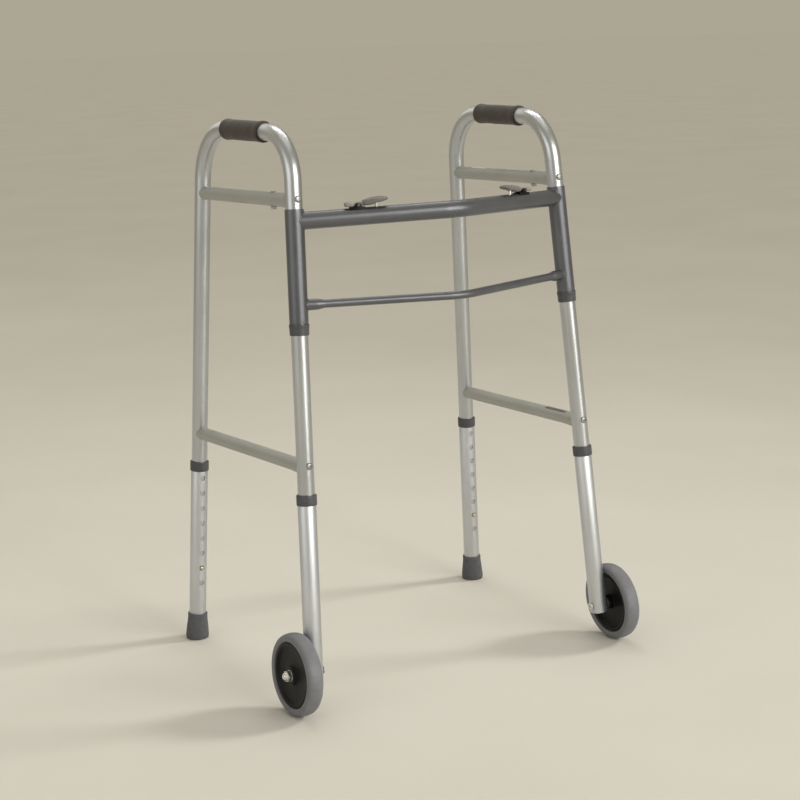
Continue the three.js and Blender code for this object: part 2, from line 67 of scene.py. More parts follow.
SLEEVE_R, SLEEVE_BORE, SLEEVE_TOP, SLEEVE_END = 13.9, 12.85, 730.1, 567.4
BUSH_END, BUSH_R = 551, 14.8
BAR_R, BAR_BORE, UPPER_BAR_Z, UPPER_BAR_RISE, BAR_BOW = 12.7, 11.3, 713, 6, 77
LOWER_BAR_Z, ROD_R, ROD_FLARE, MIDDLE_BEND = 594, 6, 8.4, 70
PIVOT_AT, PIVOT_UP, PLUNGER_AT, PLUNGER_R = 92.5, 17.4, 119.5, 2.3
WHEEL_R, TYRE_HALF, TREAD_HALF, HUB_R, WHEEL_OUT, AXLE_R = 61.2, 12.5, 7, 49.5, 28.2, 4
TIP_TOP, TIP_R = 43, 18.9
SIDES = {"right": -1, "left": 1}

# ---- sizes of the finer shapes, in millimetres ----
SOCKET = 2.1  # half width across the flats of a screw's hexagon socket
HEX_CORNER = 1.155  # corner radius of a hexagon over its half width across the flats
SCREW_HOLE_R, PIN_R, GRIP_LIP = 2.6, 1.6, 2.2
POCKET_R, POCKET_TOP = 4.6, 20.1  # the hollow in the lever over its plunger
LEVER_SQUARE = (0.5, 0.55)  # powers that square off the lever's section, across and up
CROWN_RISE, CROWN_TURN = 7.6, 84  # height of the tyre's rounded tread, and its angle to each side

mounts = {m["name"]: Vector(m["pos_m"]) for m in record["mounts"]}
FOOT_Y = LEG_Y["rear"] + RAKE["rear"] * LEVEL
SHIFT_Y = mounts["right_rear_tip_foot"].y / MM - FOOT_Y  # the CAD model is centred on its footprint


# ---- places on the frame, in millimetres ----
def on_frame(s, y, z):
    return Vector((s * (HALF_WIDTH + CAMBER * (LEVEL - z) + TOE * y), y, z))


def on_leg(s, leg, z):
    return on_frame(s, LEG_Y[leg] + RAKE[leg] * (LEVEL - z), z)


def leg_up(s, leg):
    return (on_leg(s, leg, LEVEL) - on_leg(s, leg, 0)).normalized()


def outward(s):
    return Vector((s, -TOE, CAMBER)).normalized()


def inward(s, leg):
    across = leg_up(s, leg).cross(outward(s)).normalized()
    return across if (across.y > 0) == (leg == "front") else -across


def bar_frame(s, z, rise):
    start = on_leg(s, "front", z)
    middle = Vector((0, start.y - BAR_BOW, z + rise))
    along = (middle - start).normalized()
    across = Vector((0, 0, 1)).cross(along).normalized()
    up = along.cross(across)
    return start, along, across, up


def bar_point(bar, u, w=0.0, v=0.0):
    start, along, across, up = bar
    return start + along * u + up * w + across * v


def axle_point(s):
    out = outward(s)
    lean = math.asin(abs(out.z))
    height = WHEEL_R * math.cos(lean) + TREAD_HALF * math.sin(lean)
    return on_leg(s, "front", height - WHEEL_OUT * out.z)


# ---- mesh building: a shape is (points in millimetres, faces) ----
def ring(centre, n1, n2, radius, sides):
    points = []
    for k in range(sides):
        a = 2 * math.pi * k / sides
        points.append(centre + n1 * (radius * math.cos(a)) + n2 * (radius * math.sin(a)))
    return points


def loft(rings, closed=False):
    points, faces, index = [], [], []
    for r in rings:
        index.append(list(range(len(points), len(points) + len(r))))
        points += r
    pairs = list(zip(index, index[1:])) + ([(index[-1], index[0])] if closed else [])
    for a, b in pairs:
        for k in range(max(len(a), len(b))):
            corners = (a[k % len(a)], a[(k + 1) % len(a)], b[(k + 1) % len(b)], b[k % len(b)])
            faces.append(list(dict.fromkeys(corners)))
    if not closed:
        faces += [f for f in (index[0][::-1], index[-1]) if len(f) > 2]
    return points, faces


def rounded(profile, closed, steps=4):
    """Corners given as (radius, along, fillet) are rounded off."""
    out = []
    for i, p in enumerate(profile):
        here = Vector(p[:2])
        if len(p) < 3 or (not closed and i in (0, len(profile) - 1)):
            out.append(tuple(here))
            continue
        before = Vector(profile[i - 1][:2]) - here
        after = Vector(profile[(i + 1) % len(profile)][:2]) - here
        a = here + before.normalized() * min(p[2], before.length * 0.49)
        b = here + after.normalized() * min(p[2], after.length * 0.49)
        for k in range(steps + 1):
            t = k / steps
            out.append(tuple(a * (1 - t) ** 2 + here * (2 * t * (1 - t)) + b * t * t))
    return out


def lathe(profile, origin, axis, sides=48):
    """A profile that starts on the axis ends on it too; any other is a ring."""
    hollow = profile[0][0] > 0
    n1 = axis.orthogonal().normalized()
    n2 = axis.cross(n1)
    rings = []
    for r, y in rounded(profile, hollow):
        centre = origin + axis * y
        rings.append(ring(centre, n1, n2, r, sides) if r > 1e-6 else [centre])
    return loft(rings, hollow)


def rod(a, b, radius, sides=48):
    axis = (b - a).normalized()
    return lathe([(0, 0), (radius, 0), (radius, (b - a).length), (0, (b - a).length)], a, axis, sides)


def pipe(stations, normal, outer, bore=0.0, lip=0.5, sides=44):
    def at(k, offset, radius):
        point, tangent = stations[k]
        return ring(point + tangent * offset, normal, tangent.cross(normal), radius, sides)

    last = len(stations) - 1
    inside = range(1, last)
    rings = [at(0, 0, outer - lip), at(0, lip * 0.3, outer - lip * 0.3), at(0, lip, outer)]
    rings += [at(k, 0, outer) for k in inside]
    rings += [at(last, -lip, outer), at(last, -lip * 0.3, outer - lip * 0.3), at(last, 0, outer - lip)]
    if bore:
        rings += [at(last, 0, bore)] + [at(k, 0, bore) for k in reversed(inside)] + [at(0, 0, bore)]
    return loft(rings, closed=bool(bore))


def rounded_path(corners, radii, segments):
    stations = [(corners[0], (corners[1] - corners[0]).normalized())]
    for i in range(1, len(corners) - 1):
        before = (corners[i] - corners[i - 1]).normalized()
        after = (corners[i + 1] - corners[i]).normalized()
        turn = before.angle(after)
        radius = radii[i - 1]
        start = corners[i] - before * (radius * math.tan(turn / 2))
        side = (after - before * after.dot(before)).normalized()
        for k in range(segments + 1):
            a = turn * k / segments
            point = start + before * (radius * math.sin(a)) + side * (radius * (1 - math.cos(a)))
            stations.append((point, before * math.cos(a) + side * math.sin(a)))
    stations.append((corners[-1], (corners[-1] - corners[-2]).normalized()))
    return stations


def slab(outline, origin, along, up, half):
    """A side-on outline of (along, up) points pushed out to both sides of its plane."""
    across = along.cross(up)
    rings = [[origin + along * u + up * w + across * v for u, w in outline] for v in (-half, half)]
    return loft(rings)


def merged(shapes):
    points, faces = [], []
    for p, f in shapes:
        base = len(points)
        points += p
        faces += [[i + base for i in face] for face in f]
    return points, faces


def make(name, shape):
    points, faces = shape
    mesh = bpy.data.meshes.new(name)
    mesh.from_pydata([(p.x * MM, (p.y + SHIFT_Y) * MM, p.z * MM) for p in points], [], faces)
    bm = bmesh.new()
    bm.from_mesh(mesh)
    bmesh.ops.recalc_face_normals(bm, faces=bm.faces)
    bm.to_mesh(mesh)
    bm.free()
    obj = bpy.data.objects.new(name, mesh)
    bpy.context.scene.collection.objects.link(obj)
    return obj


def applied(obj):
    bpy.context.view_layer.update()
    evaluated = obj.evaluated_get(bpy.context.evaluated_depsgraph_get())
    mesh = bpy.data.meshes.new_from_object(evaluated)
    obj.modifiers.clear()
    obj.data = mesh
    return obj


def carve(obj, shapes, operation="DIFFERENCE"):
    tool = make("tool", merged(shapes))
    step = obj.modifiers.new("carve", "BOOLEAN")
    step.operation, step.solver, step.object = operation, "EXACT", tool
    applied(obj)
    bpy.data.objects.remove(tool)
    return obj


def soften(obj, width, segments=2, angle=40):
    step = obj.modifiers.new("soften", "BEVEL")
    step.width, step.segments = width * MM, segments
    step.limit_method, step.angle_limit = "ANGLE", math.radians(angle)
    return applied(obj)


def lay_grain(obj, path, normal):
    """Each vertex keeps its place on the piece's own line: two lengths across and one along, in metres."""
    world = np.array([v.co for v in obj.data.vertices]) / MM - np.array([0, SHIFT_Y, 0])
    a = np.array([tuple(p) for p in path[:-1]])
    b = np.array([tuple(p) for p in path[1:]])
    run = b - a
    length = np.linalg.norm(run, axis=1)
    before = np.concatenate([[0], np.cumsum(length)[:-1]])
    offset = world[:, None, :] - a[None]
    t = np.einsum("nmk,mk->nm", offset, run) / length**2
    held = np.clip(t, 0, 1)
    held[:, 0] = np.minimum(t[:, 0], 1)
    held[:, -1] = np.where(len(path) > 2, np.maximum(t[:, -1], 0), t[:, -1])
    foot = a[None] + held[..., None] * run[None]
    pick = np.argmin(np.linalg.norm(world[:, None, :] - foot, axis=2), axis=1)
    rows = np.arange(len(world))
    gap = world - foot[rows, pick]
    n1 = np.array(tuple(normal))
    n2 = np.cross(run[pick] / length[pick, None], n1)
    along = before[pick] + held[rows, pick] * length[pick]
    place = np.stack([gap @ n1, np.einsum("nk,nk->n", gap, n2), along], axis=1) * MM
    attribute = obj.data.attributes.new("grain", "FLOAT_VECTOR", "POINT")
    attribute.data.foreach_set("vector", place.astype(np.float32).ravel())


def straight(origin, axis):
    """A straight line for lay_grain, and a direction square to it."""
    return [origin - axis * 10, origin + axis * 10], axis.orthogonal().normalized()


def finished(obj, look, line, sharp=34):
    lay_grain(obj, *line)
    obj.data.shade_smooth()
    obj.data.set_sharp_from_angle(angle=math.radians(sharp))
    obj.data.materials.clear()
    obj.data.materials.append(look)
    return obj


def stand_for(obj, node, look, line, sharp=34):
    finished(obj, look, line, sharp)
    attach(obj, body_of[node])
    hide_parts(node)


def go_with(obj, node, look, line, slot=None, sharp=34):
    finished(obj, look, line, sharp)
    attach(obj, body_of[node])
    slot or slot_of[node]


# ---- materials ----
class Nodes:
    """Short names for the few shader nodes that the materials are made of."""

    def __init__(self, name, source):
        self.material = bpy.data.materials.new(name)
        self.material.use_nodes = True
        self.tree = self.material.node_tree
        self.shader = self.tree.nodes["Principled BSDF"]
        if source == "grain":
            self.source = self.new("ShaderNodeAttribute")
            self.source.attribute_name = "grain"
            self.source = self.source.outputs["Vector"]
        else:
            self.source = self.new("ShaderNodeTexCoord").outputs["Object"]

    def new(self, kind):
        return self.tree.nodes.new(kind)

    def link(self, a, b):
        self.tree.links.new(a, b)

    def noise(self, scale, detail=3.0, rough=0.55, offset=0.0, distortion=0.0):
        mapping = self.new("ShaderNodeMapping")
        mapping.inputs["Scale"].default_value = scale
        mapping.inputs["Location"].default_value = (offset,) * 3
        self.link(self.source, mapping.inputs["Vector"])
        node = self.new("ShaderNodeTexNoise")
        node.inputs["Scale"].default_value = 1.0
        node.inputs["Detail"].default_value = detail
        node.inputs["Roughness"].default_value = rough
        node.inputs["Distortion"].default_value = distortion
        self.link(mapping.outputs["Vector"], node.inputs["Vector"])
        return node.outputs["Fac"]

    def cells(self, scale):
        mapping = self.new("ShaderNodeMapping")
        mapping.inputs["Scale"].default_value = scale
        self.link(self.source, mapping.inputs["Vector"])
        node = self.new("ShaderNodeTexVoronoi")
        node.inputs["Scale"].default_value = 1.0
        self.link(mapping.outputs["Vector"], node.inputs["Vector"])
        return node.outputs["Distance"]

    def span(self, value, low, high, to_low, to_high):
        node = self.new("ShaderNodeMapRange")
        node.inputs["From Min"].default_value = low
        node.inputs["From Max"].default_value = high
        node.inputs["To Min"].default_value = to_low
        node.inputs["To Max"].default_value = to_high
        self.link(value, node.inputs["Value"])
        return node.outputs["Result"]

    def maths(self, operation, a, b):
        node = self.new("ShaderNodeMath")
        node.operation = operation
        for socket, value in zip(node.inputs, (a, b)):
            if isinstance(value, (int, float)):
                socket.default_value = value
            else:
                self.link(value, socket)
        return node.outputs["Value"]

    def ramp(self, value, stops):
        node = self.new("ShaderNodeValToRGB")
        elements = node.color_ramp.elements
        for k, (at, colour) in enumerate(stops):
            element = elements[k] if k < 2 else elements.new(at)
            element.position = at
            element.color = (*colour, 1)
        self.link(value, node.inputs["Fac"])
        return node.outputs["Color"]

    def blend(self, factor, a, b):
        node = self.new("ShaderNodeMix")
        node.data_type = "RGBA"
        self.link(factor, node.inputs["Factor"])
        for socket, value in ((node.inputs[6], a), (node.inputs[7], b)):
            if isinstance(value, tuple):
                socket.default_value = (*value, 1)
            else:
                self.link(value, socket)
        return node.outputs[2]

    def bump(self, height, depth):
        node = self.new("ShaderNodeBump")
        node.inputs["Strength"].default_value = 1.0
        node.inputs["Distance"].default_value = depth
        self.link(height, node.inputs["Height"])
        self.link(node.outputs["Normal"], self.shader.inputs["Normal"])

    def set(self, **values):
        for key, value in values.items():
            self.shader.inputs[key.replace("_", " ")].default_value = value


def shade(colour, factor):
    return tuple(min(1.0, c * factor) for c in colour)


def metal_look(name, colour, rough, spread=0.06, drawn=1.0, metallic=1.0, source="grain", scratch=0.16):
    """Drawn or plated metal: lines along the piece, a cloudy sheen, and a few fine scratches."""
    n = Nodes(name, source)
    clouds = n.noise((34, 34, 9), 4)
    lines = n.noise((1900, 1900, 14), 2)
    fine = n.noise((5200, 5200, 90), 2, offset=3.1)
    marks = n.noise((420, 420, 3400), 2, 0.5, offset=7.7, distortion=0.6)
    marks = n.span(marks, 0.70, 0.76, 0.0, 1.0)
    base = n.ramp(clouds, [(0.3, shade(colour, 1 - spread)), (0.7, shade(colour, 1 + spread))])
    n.link(n.blend(n.maths("MULTIPLY", marks, 0.5), base, shade(colour, 0.72)), n.shader.inputs["Base Color"])
    roughness = n.span(n.maths("ADD", n.maths("MULTIPLY", lines, 0.6), n.maths("MULTIPLY", clouds, 0.4)),
                       0.3, 0.7, rough - 0.06, rough + 0.07)
    n.link(n.maths("ADD", roughness, n.maths("MULTIPLY", marks, scratch)), n.shader.inputs["Roughness"])
    height = n.maths("ADD", n.maths("MULTIPLY", lines, drawn), n.maths("MULTIPLY", fine, 0.5 * drawn))
    n.bump(n.maths("SUBTRACT", height, n.maths("MULTIPLY", marks, 0.8)), 0.000012)
    n.set(Metallic=metallic)
    return n.material


def paint_look(name, colour, rough, chip):
    """Powder coat: orange peel, faint rubbing, and sparse chips down to the metal."""
    n = Nodes(name, "grain")
    clouds = n.noise((26, 26, 11), 4)
    peel = n.noise((620, 620, 620), 3, offset=1.3)
    rub = n.span(n.noise((240, 240, 36), 4, 0.6, offset=5.2), 0.56, 0.74, 0.0, 1.0)
    chips = n.span(n.noise((330, 330, 300), 5, 0.62, offset=9.4), 0.735, 0.75, 0.0, 1.0)
    base = n.ramp(clouds, [(0.3, shade(colour, 0.9)), (0.7, shade(colour, 1.1))])
    base = n.blend(n.maths("MULTIPLY", rub, 0.35), base, shade(colour, 1.5))
    n.link(n.blend(chips, base, chip), n.shader.inputs["Base Color"])
    n.link(n.maths("ADD", n.span(clouds, 0.3, 0.7, rough - 0.04, rough + 0.05),
                   n.maths("MULTIPLY", rub, 0.09)), n.shader.inputs["Roughness"])
    n.bump(n.maths("SUBTRACT", peel, n.maths("MULTIPLY", chips, 0.9)), 0.00003)
    n.set(Metallic=0.8, Coat_Weight=0.3, Coat_Roughness=0.3)
    return n.material


def moulded_look(name, colour, rough, grain_depth, spread=0.08, dust=0.0, pores=0.0, sheen=0.0, specular=0.5):
    """Moulded plastic, rubber or foam: fine skin grain, handling marks, and dust or open pores with painted
    shade in their bottoms.
    """
    n = Nodes(name, "grain")
    clouds = n.noise((40, 40, 40), 5)
    skin = n.noise((1500, 1500, 1500), 3, 0.6, offset=2.2)
    handled = n.span(n.noise((120, 120, 60), 4, 0.6, offset=6.1), 0.5, 0.72, 0.0, 1.0)
    base = n.ramp(clouds, [(0.3, shade(colour, 1 - spread)), (0.7, shade(colour, 1 + spread))])
    base = n.blend(n.maths("MULTIPLY", handled, 0.3), base, shade(colour, 1.22))
    if dust:
        film = n.span(n.noise((210, 210, 210), 6, 0.7, offset=4.4), 0.42, 0.8, 0.0, dust)
        base = n.blend(film, base, (0.42, 0.39, 0.35))
    height = skin
    if pores:
        pore_pits_and_shade = n.span(n.cells((900, 900, 900)), 0.12, 0.5, 0.0, 1.0)
        height = n.maths("ADD", n.maths("MULTIPLY", skin, 0.5), n.maths("MULTIPLY", pore_pits_and_shade, pores))
        # painted shade: the colour is darkened towards the bottom of each pore, on top of the pore's bump
        base = n.blend(n.span(pore_pits_and_shade, 0.0, 0.6, 0.5, 0.0), base, shade(colour, 0.6))
    n.link(base, n.shader.inputs["Base Color"])
    n.link(n.maths("SUBTRACT", n.span(skin, 0.3, 0.7, rough - 0.05, rough + 0.06),
                   n.maths("MULTIPLY", handled, 0.08)), n.shader.inputs["Roughness"])
    n.bump(height, grain_depth)
    n.shader.inputs["Specular IOR Level"].default_value = specular
    if sheen:
        n.set(Sheen_Weight=sheen, Sheen_Roughness=0.4)
    return n.material


ALUMINIUM = metal_look("satin_aluminium", (0.52, 0.54, 0.56), 0.33, drawn=0.5)
EXTENSION = metal_look("anodised_extension", (0.60, 0.62, 0.645), 0.47, drawn=0.6)
BRACE = metal_look("matte_brace", (0.40, 0.40, 0.38), 0.56, metallic=0.55, drawn=0.8, scratch=0.08)
STEEL = metal_look("zinc_plate", (0.70, 0.71, 0.69), 0.26, spread=0.1, drawn=0.4)
SCREW_STEEL = metal_look("screw_steel", (0.34, 0.35, 0.345), 0.3, spread=0.12, drawn=0.3)
BRASSY = metal_look("yellow_zinc", (0.62, 0.56, 0.42), 0.32, spread=0.1, drawn=0.3)
DARK_STEEL = metal_look("dark_steel", (0.11, 0.11, 0.105), 0.42, spread=0.12, drawn=0.3)
STEEL_INSIDE = metal_look("bare_steel", (0.5, 0.5, 0.5), 0.4, source="object")
DARK_PAINT = paint_look("grey_powder_coat", (0.125, 0.130, 0.144), 0.40, (0.5, 0.5, 0.5))
DARK_PLASTIC = moulded_look("collar_plastic", (0.052, 0.053, 0.06), 0.5, 0.00003, dust=0.06)
TIP_RUBBER = moulded_look("tip_rubber", (0.068, 0.071, 0.082), 0.66, 0.00004, dust=0.1)
TYRE_RUBBER = moulded_look("tyre_rubber", (0.142, 0.146, 0.162), 0.5, 0.00004, dust=0.1)
BLACK_PLASTIC = moulded_look("black_plastic", (0.0045, 0.0043, 0.005), 0.42, 0.00002, dust=0.005,
                             specular=0.17)
GRIP_FOAM = moulded_look("grip_foam", (0.044, 0.037, 0.030), 0.78, 0.0002, dust=0.05, pores=0.8, sheen=0.12)
LEVER_LIGHT = moulded_look("lever_plastic", (0.22, 0.21, 0.185), 0.45, 0.00002)
LEVER_PAD = moulded_look("lever_pad", (0.13, 0.126, 0.126), 0.46, 0.00005, pores=0.3)
LABEL_DARK = moulded_look("dark_label", (0.085, 0.085, 0.085), 0.35, 0.00001, dust=0.3)
LABEL_PALE = moulded_look("pale_label", (0.55, 0.53, 0.47), 0.35, 0.00001)


# ---- front brace ----
def weld_bead(name, bar, tube_radius, bar_radius, s, size):
    """A rippled bead along the line where a round bar meets its sleeve."""
    start, along, across, up = bar
    axis = leg_up(s, "front")
    points = []
    count = 96
    for k in range(count):
        a = 2 * math.pi * k / count
        offset = up * (bar_radius * math.cos(a)) + across * (bar_radius * math.sin(a))
        flat_run = along - axis * along.dot(axis)
        flat_off = offset - axis * offset.dot(axis)
        qa, qb = flat_run.length_squared, flat_run.dot(flat_off)
        qc = flat_off.length_squared - tube_radius**2
        t = (-qb + math.sqrt(max(0.0, qb * qb - qa * qc))) / qa
        points.append(start + along * t + offset)
    rings = []
    for k, p in enumerate(points):
        tangent = (points[(k + 1) % count] - points[k - 1]).normalized()
        n1 = (p - start - along * (p - start).dot(along)).normalized()
        n1 = (n1 - tangent * n1.dot(tangent)).normalized()
        ripple = size * (1 + 0.07 * math.sin(2 * math.pi * k * 24 / count) + 0.05 * noise.noise(p * 0.3))
        rings.append(ring(p - n1 * size * 0.35, n1, tangent.cross(n1), ripple, 12))
    return make(name, loft(rings, closed=True))


def build_front_brace():
    upright = Vector((0, 0, 1))
    cuts = [rod(on_leg(s, "front", 500), on_leg(s, "front", 800), SLEEVE_R - 0.4) for s in (-1, 1)]
    bars = {s: bar_frame(s, UPPER_BAR_Z, UPPER_BAR_RISE) for s in (-1, 1)}
    middle = Vector((0, bars[1][0].y - BAR_BOW, UPPER_BAR_Z + UPPER_BAR_RISE))
    path = rounded_path([bars[-1][0], middle, bars[1][0]], [MIDDLE_BEND], 16)
    bar = make("upper_bar", pipe(path, upright, BAR_R, BAR_BORE, sides=48))
    drills = [rod(bar_point(bars[s], PLUNGER_AT, 4), bar_point(bars[s], PLUNGER_AT, 20), PLUNGER_R + 0.6, 24)
              for s in (-1, 1)]
    carve(bar, cuts + drills)
    stand_for(bar, "upper_crossbar", DARK_PAINT, ([p for p, _ in path], upright))

    rods = {s: bar_frame(s, LOWER_BAR_Z, 0) for s in (-1, 1)}
    middle = Vector((0, rods[1][0].y - BAR_BOW, LOWER_BAR_Z))
    path = rounded_path([rods[-1][0], middle, rods[1][0]], [MIDDLE_BEND], 16)
    lower = make("lower_bar", pipe(path, upright, ROD_R, sides=36))
    flare = [(0, 5), (ROD_FLARE, 5), (ROD_FLARE - 0.3, 29, 5), (ROD_R + 0.3, 36, 4),
             (ROD_R - 0.1, 40), (0, 40)]
    carve(lower, [lathe(flare, rods[s][0], rods[s][1], 36) for s in (-1, 1)], "UNION")
    carve(lower, cuts)
    stand_for(lower, "lower_crossbar", DARK_PAINT, ([p for p, _ in path], upright))

    for name, s in SIDES.items():
        up = leg_up(s, "front")
        line = straight(on_leg(s, "front", SLEEVE_END), up)
        for level, beam, radius, size in (("upper", bars[s], BAR_R, 1.15),
                                          ("lower", rods[s], ROD_FLARE, 0.95)):
            bead = weld_bead(f"{name}_{level}_weld", beam, SLEEVE_R, radius, s, size)
            go_with(bead, "upper_crossbar", DARK_PAINT, line, sharp=80)

        length = (on_leg(s, "front", SLEEVE_TOP) - on_leg(s, "front", SLEEVE_END)).length
        profile = [
            (SLEEVE_BORE, 0), (SLEEVE_R, 0, 0.7), (SLEEVE_R, 8), (SLEEVE_R, length - 8),
            (SLEEVE_R, length, 0.7), (SLEEVE_BORE, length, 0.3),
        ]
        sleeve = make(f"{name}_sleeve", lathe(profile, on_leg(s, "front", SLEEVE_END), up, 56))
        stand_for(sleeve, f"{name}_hinge_sleeve", DARK_PAINT, line)

        top = SLEEVE_END - 0.3 - BUSH_END
        profile = [
            (SLEEVE_BORE - 0.2, 0), (BUSH_R - 0.7, 0, 1.2), (BUSH_R - 0.5, top - 6, 2),
            (BUSH_R, top - 3.4, 1.2), (BUSH_R, top, 0.9), (SLEEVE_BORE - 0.2, top),
        ]
        bushing = make(f"{name}_bushing", lathe(profile, on_leg(s, "front", BUSH_END), up, 56))
        stand_for(bushing, f"{name}_sleeve_bushing", DARK_PLASTIC, line)
        build_release(name, bars[s])


# ---- release lever ----
def lever_section(bar, u, low, high, half, sides=28):
    """Rounded cross-section of the lever at u from its pivot: low and high above the bar's axis."""
    _, _, across, up = bar
    centre = bar_point(bar, PIVOT_AT + u, (low + high) / 2)
    points = []
    for k in range(sides):
        a = 2 * math.pi * k / sides
        c, d = math.cos(a), math.sin(a)
        x = math.copysign(abs(c) ** LEVER_SQUARE[0], c) * half
        y = math.copysign(abs(d) ** LEVER_SQUARE[1], d) * (high - low) / 2
        points.append(centre + across * x + up * y)
    return points


def smooth_rows(rows, steps):
    """Rows of numbers joined by a smooth curve through each."""
    out = []
    for i in range(len(rows) - 1):
        p0, p1 = rows[max(i - 1, 0)], rows[i]
        p2, p3 = rows[i + 1], rows[min(i + 2, len(rows) - 1)]
        for k in range(steps):
            t = k / steps
            out.append([
                0.5 * (2 * b + (c - a) * t + (2 * a - 5 * b + 4 * c - d) * t * t
                       + (3 * b - a - 3 * c + d) * t**3)
                for a, b, c, d in zip(p0, p1, p2, p3)
            ])
    out.append(list(rows[-1]))
    return out


def lever_body(bar, rows, steps):
    """A closed body through sections given as (along, lower face, upper face, half width)."""
    sections = [lever_section(bar, *row) for row in smooth_rows(rows, steps)]
    ends = [[sum(part, Vector()) / len(part)] for part in (sections[0], sections[-1])]
    return loft([ends[0], *sections, ends[1]])


def build_release(name, bar):
    _, along, across, up = bar
    line = ([bar_point(bar, 0), bar_point(bar, 200)], across)
    at = bar_point(bar, PIVOT_AT)
    base = [(-12, 5), (11, 5), (11, 13.4), (5, 14), (4.6, 17), (3.4, 19.6), (1.4, 20.4), (-1.4, 20.4),
            (-3.4, 19.6), (-4.6, 17), (-4.9, 14.2), (-12, 13.9)]
    bracket = make(f"{name}_bracket", slab(base, at, along, up, 7.5))
    carve(bracket, [slab([(-15, 14.4), (15, 14.4), (15, 24), (-15, 24)], at, along, up, 5)])
    soften(bracket, 0.45)
    carve(bracket, [rod(bar_point(bar, 40), bar_point(bar, 150), BAR_R + 0.15)])
    stand_for(bracket, f"{name}_lever_bracket", BLACK_PLASTIC, line)

    pin = [(0, -8.6), (2.4, -8.6, 0.5), (2.4, -7.7, 0.3), (PIN_R, -7.7), (PIN_R, 8.1), (1.3, 8.6), (0, 8.6)]
    pin = make(f"{name}_pin", lathe(pin, bar_point(bar, PIVOT_AT, PIVOT_UP), across, 24))
    stand_for(pin, f"{name}_lever_pin", DARK_STEEL, straight(at, across))

    rows = [(-19.3, 15.9, 19.9, 4.8), (-18.2, 15.1, 21.0, 6.3), (-14, 14.95, 21.6, 7.1),
            (-8.5, 14.9, 21.7, 6.9), (-6.0, 14.9, 21.5, 4.5), (-3, 14.9, 21.2, 4.4),
            (4, 15.2, 21.2, 4.4), (7.5, 15.3, 21.6, 5.0), (13, 15.4, 22.8, 7.5), (20, 16.0, 24.3, 9.1),
            (27, 18.1, 25.4, 9.7), (34, 19.4, 25.6, 9.7), (39, 20.6, 25.2, 8.9), (42.2, 21.6, 24.5, 6.8),
            (43.6, 22.6, 23.8, 4.0)]
    paddle = make(f"{name}_paddle", lever_body(bar, rows, 5))
    pocket = rod(bar_point(bar, PLUNGER_AT, 10), bar_point(bar, PLUNGER_AT, POCKET_TOP), POCKET_R, 28)
    bore = rod(bar_point(bar, PIVOT_AT, PIVOT_UP, -12), bar_point(bar, PIVOT_AT, PIVOT_UP, 12),
               PIN_R + 0.2, 20)
    carve(paddle, [bore, pocket])
    stand_for(paddle, f"{name}_release_lever", LEVER_LIGHT, line, sharp=50)

    # soft cap pulled over the raised end
    pad = [(6.6, 16.6, 22.0, 4.5), (8.6, 16.0, 22.9, 6.8), (13, 16.0, 24.2, 8.7), (20, 16.6, 25.8, 9.9),
           (27, 18.6, 26.5, 10.3), (34, 19.9, 26.7, 10.3), (39, 21.0, 26.3, 9.7), (42.4, 21.7, 25.6, 7.9),
           (44.0, 22.3, 24.8, 5.0)]
    pad = make(f"{name}_pad", lever_body(bar, pad, 4))
    carve(pad, [pocket])
    go_with(pad, f"{name}_release_lever", LEVER_PAD, line, sharp=60)

    shaft = [(0, 0.4), (PLUNGER_R, 2.4), (PLUNGER_R, 14.6), (3.2, 14.6, 0.3), (3.2, 15.7, 0.3),
             (1.6, 16.6), (0, 16.6)]
    plunger = make(f"{name}_post", lathe(shaft, bar_point(bar, PLUNGER_AT, 2.6), up, 28))
    stand_for(plunger, f"{name}_plunger", STEEL, straight(at, up))


# ---- side frame ----
def button_point(s, leg):
    down = FIRST_HOLE + BUTTON_HOLE * HOLE_PITCH
    return on_leg(s, leg, EXT_TOP[leg]) - leg_up(s, leg) * down


def brace_axes(s, heights):
    front, rear = on_leg(s, "front", heights["front"]), on_leg(s, "rear", heights["rear"])
    run = (rear - front).normalized()
    rise = outward(s).cross(run).normalized()
    return front, rear, run, rise * math.copysign(1, rise.z)


def build_tube(name, s):
    corners = [on_leg(s, "rear", TUBE_END["rear"]), on_leg(s, "rear", HANDLE_HEIGHT),
               on_leg(s, "front", HANDLE_HEIGHT), on_leg(s, "front", TUBE_END["front"])]
    path = rounded_path(corners, [REAR_BEND, FRONT_BEND], 28)
    normal = outward(s)
    tube = make(f"{name}_bent_tube", pipe(path, normal, TUBE_R, TUBE_BORE, sides=48))
    holes = []
    for leg in ("front", "rear"):
        at = button_point(s, leg)
        holes.append(rod(at, at + inward(s, leg) * 20, HOLE_R, 24))
        for heights in BRACES.values():
            _, _, run, rise = brace_axes(s, heights)
            seat = on_leg(s, leg, heights[leg]) + rise * SCREW_UP
            holes.append(rod(seat - run * 20, seat + run * 20, SCREW_HOLE_R, 20))
    carve(tube, holes)
    stand_for(tube, f"{name}_side_tube", ALUMINIUM, ([p for p, _ in path], normal))


